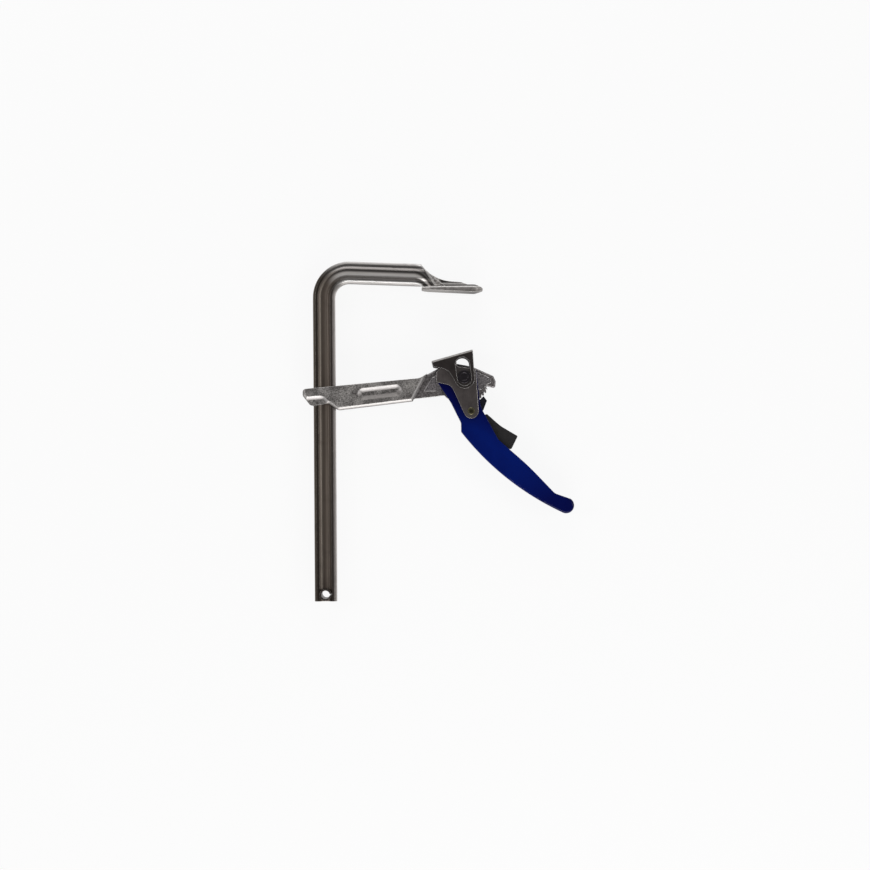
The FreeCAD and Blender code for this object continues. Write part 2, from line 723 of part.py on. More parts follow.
back_start, back_end, back_radius = grip_back(0)
tip_top = round_tip(80, size("tip_radius"))
lever_side = new_sketch(lever, "lever_outline")
outline(lever_side, [
    (back_start.x, back_start.y, "ccw", back_radius),
    (back_end.x, back_end.y, "ccw", "tip_radius"),
    (tip_top.x, tip_top.y),
    ("tip_across - dip_back", "dip_up - tip_drop", "round", "12"),
    ("(thumb_across + tip_across - dip_back) / 2 + grip_swell",
     "(dip_up - tip_drop - thumb_drop) / 2 + grip_swell", "round", "grip_curve"),
    ("thumb_across", "-thumb_drop", "round", "14"),
    (16.3, -30.0, "round", "24"),
    (12.0, 6.9, "round", "1.5"),
    (4.0, 8.6, "round", "6"),
    (-10.0, 7.2, "round", "6"),
    (-27.0, -4.4, "round", "1"),
    (-13.2, -25.6, "round", "30"),
    (-3.2, -46.0, "round", "6"),
])
pad(lever, lever_side, "lever_blank", f"2 * {CHEEK_OUT}")

inner_start, inner_end, inner_radius = grip_back(sheet_gauge)
web_end = round_tip(50, size("tip_radius") - sheet_gauge)
web_top = round_tip(50, 3 * size("tip_radius"))
channel = new_sketch(lever, "channel_outline")
outline(channel, [
    (inner_start.x, inner_start.y, "ccw", inner_radius),
    (inner_end.x, inner_end.y, "ccw", "tip_radius - lever_sheet"),
    (web_end.x, web_end.y),
    (web_top.x, web_top.y),
    ("tip_across / 2", "waist_drop"),
    ("-waist_drop", "waist_drop"),
    ("-waist_drop", inner_start.y + 2.5),
    (inner_start.x - 1.0, inner_start.y + 2.5),
])
pocket(lever, channel, "channel", f"2 * {CHEEK_IN}")

lever_holes = new_sketch(lever, "lever_holes")
circle(lever_holes, "0", "0", "main_pin_radius + pin_fit")
circle(lever_holes, "rivet_across", "-rivet_drop", "rivet_radius")
pocket(lever, lever_holes, "lever_bores", "4 * blade_thickness")


def on_back(side):
    """The long fold of the back and round the tip, on the outside of one cheek."""
    def wanted(edge):
        middle = edge.CenterOfMass
        outside = at_height(edge, value(CHEEK_OUT)) and middle.z * side > 0
        return outside and edge.Length > 60 and (middle - tip_centre).dot(tip_out) > 0
    return wanted


soften(lever, "fold_front", "Fillet", "lever_fold", on_back(1))
soften(lever, "fold_rear", "Fillet", "lever_fold", on_back(-1))

# Cam plates: two stampings riveted to the lever's cheeks, whose lobes push the pressure shoe out.

LOBE_LOW = math.radians(112)
LOBE_MID = math.radians(127)
LOBE_HIGH = math.radians(142)


def on_lobe(radius, angle):
    return radius * math.cos(angle), radius * math.sin(angle)


def cam_plate(label, rear):
    plate = body(label)
    place(plate, *MAIN)
    side = new_sketch(plate, label + "_outline")
    lobe_low = on_lobe(size("lobe_radius_low"), LOBE_LOW)
    lobe_high = on_lobe(size("lobe_radius_high"), LOBE_HIGH)
    outline(side, [
        ("rivet_across + cam_tip * cos(200deg)", "cam_tip * sin(200deg) - rivet_drop", "ccw", "cam_tip"),
        ("rivet_across + cam_tip * cos(3deg)", "cam_tip * sin(3deg) - rivet_drop"),
        ("12.8", "-10.4", "round", "40"),
        ("11.6", "7.6", "round", "1.5"),
        ("-7.4", "10.4", "round", "2"),
        (lobe_low[0], lobe_low[1], "ccw", "lobe_radius_low + 1.2"),
        (lobe_high[0], lobe_high[1]),
        ("-wing_reach", "5.2", "round", "1.6"),
        ("-wing_reach - 0.4", "-5.2", "round", "1.2"),
        ("-12.8", "-8.8", "round", "9"),
    ])
    bind(side, "AttachmentOffset.Base.z", f"-{CAM_OUT}" if rear else CHEEK_OUT)
    pad(plate, side, label + "_blank", "cam_sheet", both=False)
    bores = new_sketch(plate, label + "_holes")
    circle(bores, "0", "0", "main_pin_radius + pin_fit")
    circle(bores, "rivet_across", "-rivet_drop", "rivet_radius")
    pocket(plate, bores, label + "_bores", "8 * cam_sheet")
    return plate


cam_plate("cam_plate_front", False)
cam_plate("cam_plate_rear", True)

# Main pin: a headed pin through shoe, cam plates, lever and blade; its collar is riveted on behind.

pin_shank = cylinder("pin_shank", "main_pin_radius", f"-{EAR_OUT} - 0.5", f"{EAR_IN}", *MAIN)
pin_head = cylinder("pin_head", "head_radius", f"{CAM_OUT} + side_gap / 2", EAR_OUT, *MAIN)
join("main_pin", pin_shank, pin_head)
collar_ring = cylinder("collar_ring", "head_radius", f"-{EAR_OUT}", f"-{CAM_OUT} - side_gap / 2", *MAIN)
collar_bore = cylinder("collar_bore", "main_pin_radius", f"-{EAR_OUT} - 1", f"-{CAM_OUT} + 1", *MAIN)
collar = doc.addObject("Part::Cut", "pin_collar")
collar.Base = collar_ring
collar.Tool = collar_bore
named(collar, "pin_collar")

# Cam rivet: holds both cam plates to the cheeks and carries the pawl.

RIVET = ("main_reach + rivet_across", "-main_drop - rivet_drop")


def rivet_end(label, rear):
    """One domed end of the rivet."""
    dome = doc.addObject("Part::Cone", label)
    bind(dome, "Radius1", "rivet_head")
    bind(dome, "Radius2", "rivet_head * 0.62")
    bind(dome, "Height", "rivet_dome")
    place(dome, *RIVET, z=f"-{CAM_OUT}" if rear else CAM_OUT)
    if rear:
        dome.Placement.Rotation = FreeCAD.Rotation(FreeCAD.Vector(1, 0, 0), 180)
    return dome


rivet_shank = cylinder("rivet_shank", "rivet_radius", f"-{CAM_OUT}", CAM_OUT, *RIVET)
join("cam_rivet", rivet_shank, rivet_end("rivet_front", False), rivet_end("rivet_rear", True))

# Pawl: drops into the sector's teeth; a recess in its hub holds the torsion spring.

pawl = body("pawl")
place(pawl, *RIVET)
PAWL_WIDTH = f"2 * ({CHEEK_IN} - 0.4)"
tooth_radius = "(sector_radius + pawl_gap)"
TOOTH_X = f"({tooth_radius} * cos(45deg) - rivet_across)"
TOOTH_Y = f"(rivet_drop - {tooth_radius} * sin(45deg))"
hub = new_sketch(pawl, "pawl_hub")
circle(hub, "0", "0", "pawl_hub")
pad(pawl, hub, "hub", PAWL_WIDTH)
nose = new_sketch(pawl, "pawl_nose")
outline(nose, [
    ("-0.6 * pawl_hub", "0.53 * pawl_hub"),
    ("-0.57 * pawl_hub", "-0.6 * pawl_hub"),
    ("0.93 * pawl_hub", "-0.37 * pawl_hub"),
    ("2.03 * pawl_hub", "0.1 * pawl_hub", "round", "pawl_hub / 6"),
    (f"{TOOTH_X} + 0.57 * pawl_hub", f"{TOOTH_Y} - 0.75 * pawl_hub", "round", "pawl_hub / 6"),
    (TOOTH_X, TOOTH_Y),
    (f"{TOOTH_X} - 0.65 * pawl_hub", f"{TOOTH_Y} - 0.63 * pawl_hub", "round", "pawl_hub / 3"),
    ("0.5 * pawl_hub", "1.1 * pawl_hub"),
])
pad(pawl, nose, "nose", PAWL_WIDTH)
tail = new_sketch(pawl, "pawl_tail")
outline(tail, [
    ("0.038 * trigger_reach", "-0.058 * trigger_reach"),
    ("-0.019 * trigger_reach", "-0.1 * trigger_reach"),
    ("0.337 * trigger_reach", "-0.346 * trigger_reach", "round", "0.038 * trigger_reach"),
    ("0.423 * trigger_reach", "-0.265 * trigger_reach", "round", "0.038 * trigger_reach"),
    ("0.26 * trigger_reach", "-0.133 * trigger_reach"),
])
pad(pawl, tail, "tail", "pawl_tail")
bore = new_sketch(pawl, "pawl_bore")
circle(bore, "0", "0", "rivet_radius + pin_fit")
pocket(pawl, bore, "pivot_bore", "4 * blade_thickness")
TRIGGER_PIN = ("0.3 * trigger_reach", "-0.223 * trigger_reach")
tail_hole = new_sketch(pawl, "tail_hole")
circle(tail_hole, *TRIGGER_PIN, "trigger_pin_radius")
pocket(pawl, tail_hole, "tail_bore", "4 * blade_thickness")
SPRING_FLOOR = f"({CHEEK_IN} - 0.4 - 2.6 * spring_wire)"
recess = new_sketch(pawl, "spring_recess")
bind(recess, "AttachmentOffset.Base.z", SPRING_FLOOR)
circle(recess, "0", "0", "pawl_hub + 0.3")
circle(recess, "0", "0", "rivet_radius + 1")
pocket(pawl, recess, "spring_seat", "3 * spring_wire", both=False, backwards=True)

# Torsion spring: two turns round the pawl's hub, with one long leg in the channel.

spring = body("pawl_spring")
place(spring, *RIVET)
COIL = "(rivet_radius + 1.15 + spring_wire / 2)"
WIRE_SIDES = 8


def wire_section(sketch, x, y):
    """The wire's section, about a point of the sketch."""
    corners = []
    for n in range(WIRE_SIDES):
        turn = f"({n + 0.5} * 360deg / {WIRE_SIDES})"
        corners.append((f"{x} + spring_wire / 2 * cos{turn}", f"{y} + spring_wire / 2 * sin{turn}"))
    outline(sketch, corners)


for n in (1, 2):
    section = new_sketch(spring, f"turn_section_{n}", "XZ_Plane")
    wire_section(section, COIL, f"{SPRING_FLOOR} + spring_wire * {0.9 * n - 0.3:.1f}")
    turn = spring.newObject("PartDesign::Revolution", f"spring_turn_{n}")
    turn.Profile = section
    turn.ReferenceAxis = (origin_plane(spring, "Z_Axis"), [""])
    turn.Angle = 360
leg_section = new_sketch(spring, "leg_section", "XZ_Plane")
wire_section(leg_section, COIL, f"{SPRING_FLOOR} + spring_wire * 1.5")
pad(spring, leg_section, "spring_leg", "spring_leg", both=False)

# Release trigger: a folded sheet cap over the pawl's tail, pressed in by the thumb.

trigger = body("release_trigger")
place(trigger, *RIVET)
trigger_side = new_sketch(trigger, "trigger_outline")
outline(trigger_side, [
    ("0.20 * trigger_reach", "-0.085 * trigger_reach"),
    ("0.306 * trigger_reach", "-0.058 * trigger_reach", "round", "0.03 * trigger_reach"),
    ("0.562 * trigger_reach", "-0.288 * trigger_reach", "round", "0.77 * trigger_reach"),
    ("0.892 * trigger_reach", "-0.485 * trigger_reach", "round", "0.023 * trigger_reach"),
    ("0.758 * trigger_reach", "-0.758 * trigger_reach", "round", "0.04 * trigger_reach"),
    ("0.615 * trigger_reach", "-0.635 * trigger_reach", "round", "0.115 * trigger_reach"),
    ("0.231 * trigger_reach", "-0.279 * trigger_reach", "round", "0.077 * trigger_reach"),
])
pad(trigger, trigger_side, "trigger_blank", PAWL_WIDTH)
hollow = new_sketch(trigger, "trigger_hollow")
outline(hollow, [
    ("0.115 * trigger_reach", "-0.119 * trigger_reach"),
    ("0.292 * trigger_reach", "-0.098 * trigger_reach"),
    ("0.546 * trigger_reach", "-0.327 * trigger_reach", "round", "0.73 * trigger_reach"),
    ("0.846 * trigger_reach", "-0.504 * trigger_reach"),
    ("0.731 * trigger_reach", "-0.729 * trigger_reach"),
    ("0.692 * trigger_reach", "-0.923 * trigger_reach"),
    ("0", "-0.385 * trigger_reach"),
])
pocket(trigger, hollow, "trigger_channel", f"{PAWL_WIDTH} - 2 * trigger_sheet")
trigger_hole = new_sketch(trigger, "trigger_hole")
circle(trigger_hole, *TRIGGER_PIN, "trigger_pin_radius")
pocket(trigger, trigger_hole, "trigger_bore", "4 * blade_thickness")
trigger_rivet = cylinder("trigger_pin", "trigger_pin_radius", f"-{CHEEK_IN} + 0.4", f"{CHEEK_IN} - 0.4",
                         f"main_reach + rivet_across + {TRIGGER_PIN[0]}",
                         f"-main_drop - rivet_drop + {TRIGGER_PIN[1]}")
named(trigger_rivet, "trigger_pin")

# Pressure shoe: folded sheet, open below; its slotted ears float on the ends of the main pin.

shoe = body("pressure_shoe")
place(shoe, *MAIN, turn="shoe_tilt")
SHOE_LEFT = "(shoe_right - shoe_length)"
ear = new_sketch(shoe, "shoe_outline")
outline(ear, [
    ("shoe_right", "shoe_height"),
    (SHOE_LEFT, "shoe_height"),
    (SHOE_LEFT, "shoe_height - 6.2", "round", "1.5"),
    (f"{SHOE_LEFT} + 9", "13.6", "round", "10"),
    ("-13.4", "9.0", "round", "5"),
    ("-ear_radius", "-slot_low", "ccw", "ear_radius"),
    ("0", "-slot_low - ear_radius", "ccw", "ear_radius"),
    ("ear_radius", "-slot_low"),
])
pad(shoe, ear, "shoe_blank", f"2 * {EAR_OUT}")
inside = new_sketch(shoe, "shoe_inside")
outline(inside, [
    (f"{SHOE_LEFT} - 5", "shoe_height - shoe_web"),
    (f"{SHOE_LEFT} - 5", "-2 * ear_radius"),
    ("shoe_right + 5", "-2 * ear_radius"),
    ("shoe_right + 5", "shoe_height - shoe_web"),
])
pocket(shoe, inside, "shoe_fold_space", f"2 * {EAR_IN}")
slot = new_sketch(shoe, "slot")
wide = "(head_radius + slot_fit)"
lean_sin = "sin(slot_lean * 1deg)"
lean_cos = "cos(slot_lean * 1deg)"


def slot_point(along, across):
    """A point of the slot, given along and across its leaning centre line."""
    return (f"({along}) * {lean_sin} + ({across}) * {lean_cos}",
            f"({along}) * {lean_cos} - ({across}) * {lean_sin}")


outline(slot, [
    (*slot_point("-slot_low", f"-{wide}"), "ccw", wide),
    (*slot_point(f"-slot_low - {wide}", "0"), "ccw", wide),
    slot_point("-slot_low", wide),
    (*slot_point("slot_high", wide), "ccw", wide),
    (*slot_point(f"slot_high + {wide} * 0.82", "0"), "ccw", wide),
    slot_point("slot_high", f"-{wide}"),
])
pocket(shoe, slot, "ear_slots", f"4 * {EAR_OUT}")


def on_shoe_fold(edge):
    """The two long edges where the shoe's face turns down into its ears."""
    middle = edge.CenterOfMass
    flat = at_height(edge, value(EAR_OUT))
    return flat and abs(middle.y - size("shoe_height")) < 0.01 and edge.BoundBox.XLength > 20


soften(shoe, "shoe_folds", "Fillet", "shoe_fold", on_shoe_fold)

# Check every object and every sub-part, then write one file for each sub-part.

doc.recompute()
for thing in doc.Objects:
    if "Invalid" in thing.State or "Error" in thing.State:
        raise RuntimeError(f"{thing.Label}: {thing.State}")
for node in nodes:
    if node.Shape.isNull() or not node.Shape.isValid():
        raise RuntimeError(f"{node.Label} has no valid shape")
os.makedirs("parts", exist_ok=True)
for node in nodes:
    node.Shape.exportStep(f"parts/{node.Label}.step")
    print(node.Label, len(node.Shape.Solids), round(node.Shape.Volume), node.Shape.BoundBox)
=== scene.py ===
import math
import bmesh
import bpy
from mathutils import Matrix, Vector


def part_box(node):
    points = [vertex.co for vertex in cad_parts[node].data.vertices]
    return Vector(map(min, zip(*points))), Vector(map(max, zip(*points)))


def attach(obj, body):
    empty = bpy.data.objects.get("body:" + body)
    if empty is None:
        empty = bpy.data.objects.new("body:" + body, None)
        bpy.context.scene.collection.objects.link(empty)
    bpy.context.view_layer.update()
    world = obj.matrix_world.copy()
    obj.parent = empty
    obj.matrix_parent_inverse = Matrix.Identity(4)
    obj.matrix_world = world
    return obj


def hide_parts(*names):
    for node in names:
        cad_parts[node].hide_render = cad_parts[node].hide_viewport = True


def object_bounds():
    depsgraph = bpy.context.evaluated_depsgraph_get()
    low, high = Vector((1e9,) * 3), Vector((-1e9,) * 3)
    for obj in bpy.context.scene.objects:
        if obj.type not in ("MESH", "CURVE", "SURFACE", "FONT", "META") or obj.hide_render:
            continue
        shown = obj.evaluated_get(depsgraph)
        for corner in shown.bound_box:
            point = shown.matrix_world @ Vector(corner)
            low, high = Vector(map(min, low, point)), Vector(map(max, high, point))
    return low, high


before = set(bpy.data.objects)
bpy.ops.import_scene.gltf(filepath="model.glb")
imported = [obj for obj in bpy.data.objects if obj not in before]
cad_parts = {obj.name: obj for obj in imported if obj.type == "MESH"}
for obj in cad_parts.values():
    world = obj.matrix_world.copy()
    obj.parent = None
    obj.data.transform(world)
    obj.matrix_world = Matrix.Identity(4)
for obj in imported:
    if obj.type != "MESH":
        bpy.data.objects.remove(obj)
cad_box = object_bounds()

# Rail and fixed jaw. One cold drawn bar with a groove down both wide faces, bent over at the top while hot
# and forged flat into the jaw. The bar keeps the fine lines of the drawing die under a film of brown oil.
# Bands of painted highlight and painted shade run across its section, on the upright bar and on the bent arm.
# The jaw keeps a hammered skin, with bands of painted highlight and painted shade up its plate and a painted
# highlight along its ridge. Edges are painted bright, partly as wear and partly as painted highlight, most on
# the jaw.


class Wire:
    """One socket of a material. Sums and products of wires and numbers add Math nodes."""

    def __init__(self, tree, socket=None):
        self.tree = tree
        self.socket = socket

    def node(self, kind, settings=None, inputs=None, out=0):
        """Add a node: its type, its settings, then the values or wires of its sockets. Returns one output."""
        made = self.tree.nodes.new("ShaderNode" + kind)
        for name, setting in (settings or {}).items():
            if name == "stops":
                fill_ramp(made.color_ramp, setting)
            else:
                setattr(made, name, setting)
        for name, given in (inputs or {}).items():
            if isinstance(given, Wire):
                self.tree.links.new(given.socket, made.inputs[name])
            else:
                made.inputs[name].default_value = given
        return Wire(self.tree, made.outputs[out])

    def combine(self, operation, first, second):
        return self.node("Math", {"operation": operation}, {0: first, 1: second})

    def __add__(self, other):
        return self.combine("ADD", self, other)

    __radd__ = __add__

    def __sub__(self, other):
        return self.combine("SUBTRACT", self, other)

    def __rsub__(self, other):
        return self.combine("SUBTRACT", other, self)

    def __mul__(self, other):
        return self.combine("MULTIPLY", self, other)

    __rmul__ = __mul__

    def __truediv__(self, other):
        return self.combine("DIVIDE", self, other)

    def __rtruediv__(self, other):
        return self.combine("DIVIDE", other, self)

    def __pow__(self, other):
        return self.combine("POWER", self, other)

    def __abs__(self):
        return self.node("Math", {"operation": "ABSOLUTE"}, {0: self})

    def at_least(self, level):
        return self.combine("MAXIMUM", self, level)

    def parts(self):
        """All the outputs of this wire's node."""
        return [Wire(self.tree, output) for output in self.socket.node.outputs]

    def rise(self, low, high):
        """0 below low, 1 above high, smooth between; high may lie below low."""
        return self.node("MapRange", {"interpolation_type": "SMOOTHSTEP"}, {
            "Value": self, "From Min": low, "From Max": high})

    def tones(self, *stops):
        """Screen colours along this value, each stop being (position, red, green, blue)."""
        return self.node("ValToRGB", {"stops": stops}, {"Fac": self})

    def choose(self, without, with_it):
        """A colour that goes from one to the other as this value goes from 0 to 1."""
        return self.node("Mix", {"data_type": "RGBA"}, {0: self, 6: without, 7: with_it}, out=2)

    def shade(self, colour, low, high):
        """A colour made darker and lighter as this value goes from 0 to 1."""
        grey = self.node("MapRange", None, {"Value": self, "To Min": low, "To Max": high})
        return self.node("VectorMath", {"operation": "SCALE"}, {0: colour, "Scale": grey})


def fill_ramp(ramp, stops):
    while len(ramp.elements) > 1:
        ramp.elements.remove(ramp.elements[0])
    ramp.elements[0].position = stops[0][0]
    ramp.elements[0].color = screen(*stops[0][1:])
    for position, *levels in stops[1:]:
        ramp.elements.new(position).color = screen(*levels)


def screen(red, green, blue):
    """A screen colour from 0 to 255 as the shader counts it, opaque."""
    def linear(level):
        level /= 255
        return level / 12.92 if level <= 0.04045 else ((level + 0.055) / 1.055) ** 2.4
    return linear(red), linear(green), linear(blue), 1


class Finish:
    """A material being made: places on the piece, patterns on them, and the shader that they end in."""

    def __init__(self, name):
        self.material = bpy.data.materials.new(name)
        self.material.use_nodes = True
        self.material.node_tree.nodes.clear()
        self.wire = Wire(self.material.node_tree)
        self.place = self.wire.node("TexCoord", out="Object")
        self.normal = self.wire.node("NewGeometry", out="Normal")
        self.x, self.y, self.z = self.wire.node("SeparateXYZ", None, {0: self.place}).parts()
        facing = self.wire.node("SeparateXYZ", None, {0: self.normal})
        self.facing_x, self.facing_y, self.facing_z = facing.parts()

    def grain(self, size, detail=4.0, rough=0.55, where=None, stretch=None):
        """Noise whose blots are about this size in metres, stretched along one direction if asked."""
        where = where or self.place
        if stretch:
            where = self.wire.node("VectorMath", {"operation": "MULTIPLY"}, {0: where, 1: stretch})
        return self.wire.node("TexNoise", None, {
            "Vector": where, "Scale": 1 / size, "Detail": detail, "Roughness": rough}, out="Fac")

    def pits(self, size):
        """Distance to the nearest of many scattered spots, 0 on a spot."""
        return self.wire.node("TexVoronoi", None, {"Vector": self.place, "Scale": 1 / size}, out="Distance")

    def edges(self, radius):
        """1 on sharp edges, falling to 0 a radius away."""
        rounded = self.wire.node("Bevel", {"samples": 6}, {"Radius": radius})
        match = self.wire.node(
            "VectorMath", {"operation": "DOT_PRODUCT"}, {0: rounded, 1: self.normal}, out="Value")
        return (1 - match).rise(0.01, 0.16)

    def end(self, colour, metallic, roughness, height, depth, rounding=0, **constants):
        """Finish the shader. Height is a wire, depth what 1 on it stands for in metres, and rounding the
        radius at which corners look broken."""
        inputs = {"Base Color": colour, "Metallic": metallic, "Roughness": roughness}
        for name, number in constants.items():
            inputs[name.replace("_", " ")] = number
        relief = {"Strength": 1.0, "Distance": depth, "Height": height}
        if rounding:
            relief["Normal"] = self.wire.node("Bevel", {"samples": 8}, {"Radius": rounding})
        inputs["Normal"] = self.wire.node("Bump", None, relief)
        shader = self.wire.node("BsdfPrincipled", None, inputs)
        self.close(shader)
        return self.material

    def close(self, shader):
        output = self.material.node_tree.nodes.new("ShaderNodeOutputMaterial")
        self.material.node_tree.links.new(shader.socket, output.inputs[0])


def softened(node, name, radius=0, corner=32):
    """A copy of a machined piece, its corners sharper than this angle broken by radius, as tumbling does."""
    piece = bpy.data.objects.new(name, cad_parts[node].data.copy())
    bpy.context.scene.collection.objects.link(piece)
    bpy.ops.object.select_all(action="DESELECT")
    bpy.context.view_layer.objects.active = piece
    piece.select_set(True)
    bpy.ops.object.mode_set(mode="EDIT")
    bpy.ops.mesh.select_all(action="SELECT")
    bpy.ops.mesh.remove_doubles(threshold=0.000002)
    if radius:
        bpy.ops.mesh.dissolve_limited(angle_limit=math.radians(0.6))
    bpy.ops.object.mode_set(mode="OBJECT")
    if radius:
        bevel = piece.modifiers.new("broken_corners", "BEVEL")
        bevel.width = radius
        bevel.segments = 2
        bevel.limit_method = "ANGLE"
        bevel.angle_limit = math.radians(corner)
        bevel.use_clamp_overlap = False
        bpy.ops.object.modifier_apply(modifier="broken_corners")
    bpy.ops.mesh.customdata_custom_splitnormals_clear()
    bpy.ops.object.shade_smooth_by_angle(angle=math.radians(20))
    return piece


def fit(piece, node, body, material):
    """Put a finished piece in a machined piece's place."""
    if not piece.data.materials:
        piece.data.materials.append(material)
    for held in piece.material_slots:
        held.material = material
    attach(piece, body)
    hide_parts(node)


# Places along the bar: its bend, how the upper arm droops and sags towards the jaw, the ridge where the bar
# was cut off, and the forged plate under it.
BAR_HALF = 0.011
BAR_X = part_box("rail")[0].x + BAR_HALF
BEND = 0.025
ARM_TOP = 0.0207
bend_x = BAR_X + BEND
bend_y = ARM_TOP - BEND
DROOP = math.tan(math.radians(2.35))
SAG_X = -0.038
SAG = 42
RIDGE_X, RIDGE_Y = -0.0176, 0.007
RIDGE_LEAN = math.tan(math.radians(33))
PLATE_X = -0.031
PLATE_TOP = 0.0052
PLATE_FOOT = -0.001
FORGED_HEIGHT = 0.0105

drawn = Finish("drawn_bar")
sag = (drawn.x - SAG_X).at_least(0.0)
level = drawn.y + DROOP * (drawn.x - BAR_X) + sag * sag * SAG
out_x = (bend_x - drawn.x).at_least(0.0)
out_y = (level - bend_y).at_least(0.0)
across = (BEND - (out_x * out_x + out_y * out_y) ** 0.5) / (2 * BAR_HALF) + 0.5
along = (drawn.x - bend_x).at_least(0.0) + (bend_y - drawn.y).at_least(0.0)
on_bar = drawn.wire.node("CombineXYZ", None, {0: across * (2 * BAR_HALF), 1: along, 2: drawn.z})
turned_over = (out_y - out_x).rise(-0.012, 0.018)
lines = drawn.grain(0.0006, 3.0, 0.6, on_bar, (1.0, 0.012, 1.0))
broad = drawn.grain(0.0022, 2.0, 0.5, on_bar, (1.0, 0.05, 1.0))
stains = drawn.grain(0.018, 5.0, 0.6)
# Painted highlight and painted shade: bands of tone across the bar's section, on the upright bar and on its
# bent-over arm.
upright_painted_bands = across.tones(
    (0.0, 130, 121, 112), (0.07, 70, 63, 56), (0.19, 60, 53, 47), (0.26, 90, 82, 75),
    (0.33, 126, 117, 108), (0.43, 98, 88, 80), (0.5, 108, 97, 88), (0.58, 140, 128, 118),
    (0.68, 98, 88, 80), (0.78, 72, 65, 60), (0.85, 78, 72, 68), (0.92, 128, 122, 119),
    (1.0, 196, 191, 187))
over_painted_bands = across.tones(
    (0.0, 214, 212, 210), (0.06, 150, 147, 145), (0.11, 118, 114, 112),
    (0.18, 100, 97, 95), (0.23, 118, 114, 112), (0.28, 128, 124, 122),
    (0.33, 76, 72, 70), (0.38, 76, 72, 70), (0.43, 130, 125, 122), (0.5, 235, 229, 225),
    (0.58, 250, 246, 243), (0.62, 170, 165, 162), (0.66, 84, 80, 78),
    (0.79, 78, 75, 73), (0.84, 180, 177, 175), (0.88, 235, 233, 231),
    (0.93, 150, 147, 145), (1.0, 120, 117, 115))
metal = turned_over.choose(upright_painted_bands, over_painted_bands)
metal = lines.shade(metal, 0.72, 1.28)
metal = broad.shade(metal, 0.85, 1.15)
metal = stains.rise(0.52, 0.75).choose(metal, stains.shade(metal, 0.55, 0.9))
from_ridge = drawn.x - RIDGE_X + RIDGE_LEAN * (drawn.y - RIDGE_Y)
past_ridge = from_ridge.rise(0.0, 0.0010)
in_plate = (drawn.x - PLATE_X).rise(0.0, 0.001) * (PLATE_TOP - drawn.y).rise(0.0, 0.0006)
forged = past_ridge.at_least(in_plate)
hammered = drawn.grain(0.0022, 4.0, 0.6)
skin = hammered.rise(0.36, 0.64).choose(screen(140, 136, 133), screen(214, 210, 207))
# Painted highlight and painted shade: bands of tone up the jaw's forged plate, from its foot to its top.
plate_painted_bands = ((drawn.y - PLATE_FOOT) / FORGED_HEIGHT).tones(
    (0.0, 92, 88, 86), (0.14, 146, 141, 138), (0.36, 160, 155, 152), (0.43, 200, 196, 193),
    (0.48, 255, 252, 250), (0.55, 190, 185, 182), (0.61, 66, 62, 60), (0.69, 70, 66, 64),
    (0.77, 168, 164, 161), (0.86, 240, 237, 234), (0.94, 120, 116, 114), (1.0, 88, 85, 83))
plate_painted_bands = hammered.rise(0.3, 0.7).shade(plate_painted_bands, 0.75, 1.2)
skin = ((drawn.x + 0.014).rise(0.0, 0.004) + drawn.y.rise(0.0058, 0.0052)).choose(skin, plate_painted_bands)
metal = forged.choose(metal, skin)
# A painted highlight along the ridge line, and edges painted bright, partly as wear and partly as painted
# highlight.
ridge = from_ridge.rise(-0.0010, 0.0) * from_ridge.rise(0.0022, 0.0010) * drawn.y.rise(0.005, 0.0065)
worn_and_highlit_edges = drawn.edges(0.0008)
metal = (worn_and_highlit_edges * (0.25 + 0.6 * forged) + ridge * 0.9).choose(metal, screen(236, 233, 230))
rolled_down = across.rise(0.44, 0.6) * across.rise(0.74, 0.6) * 7 + across.rise(0.82, 0.93) * 11
relief = lines * 0.5 + forged * hammered * 2.0 + ridge * 7 - turned_over * (1 - forged) * rolled_down
rail_finish = drawn.end(
    metal, 0.85, 0.3 + 0.14 * lines + 0.1 * forged + 0.08 * stains, relief, 0.00006, 0.001)
fit(softened("rail", "grooved_rail"), "rail", "rail_body", rail_finish)

# Stop pin. A rolled spring pin of blued strip driven through the rail's foot, so that the arm can't drop off.
# Its mouth and edges are painted bright, partly as rubbing and partly as painted highlight.

blued = Finish("blued_strip")
haze = blued.grain(0.003)
tint = haze.choose(screen(92, 84, 78), screen(60, 56, 58))
# Edges painted bright: partly rubbing, partly painted highlight.
tint = blued.edges(0.0006).choose(tint, screen(176, 170, 164))
fit(softened("stop_pin", "rolled_stop_pin", 0.0003), "stop_pin", "rail_body",
    blued.end(tint, 0.9, 0.28 + 0.2 * haze, haze, 0.00003))

# Sliding arm. A drop forging of medium steel, blasted to a speckled grey. The slopes that the die left along
# its foot and in the hollow of each face are painted bright near the outer face where they turn towards the
# rail's foot, a painted highlight. Its side walls are painted darker as painted shade, and the thin toothed
# blade is darker. Edges are painted bright, partly as wear and partly as painted highlight.

BLADE_FROM_END = 0.1
BLADE_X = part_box("sliding_arm")[0].x + BLADE_FROM_END
BLADE_HALF = 0.0042
WEB_HALF = 0.0034
blasted = Finish("blasted_forging")
mottle = blasted.grain(0.011, 4.0, 0.6)
speckle = blasted.grain(0.0015, 4.0, 0.75)
dents = blasted.pits(0.0035)
grey = mottle.rise(0.35, 0.65).choose(screen(124, 120, 118), screen(172, 168, 165))
grey = speckle.rise(0.38, 0.62).shade(grey, 0.5, 1.5)
upright_face = abs(blasted.facing_z)
slanting = upright_face.rise(0.96, 0.88) * upright_face.rise(0.3, 0.5)
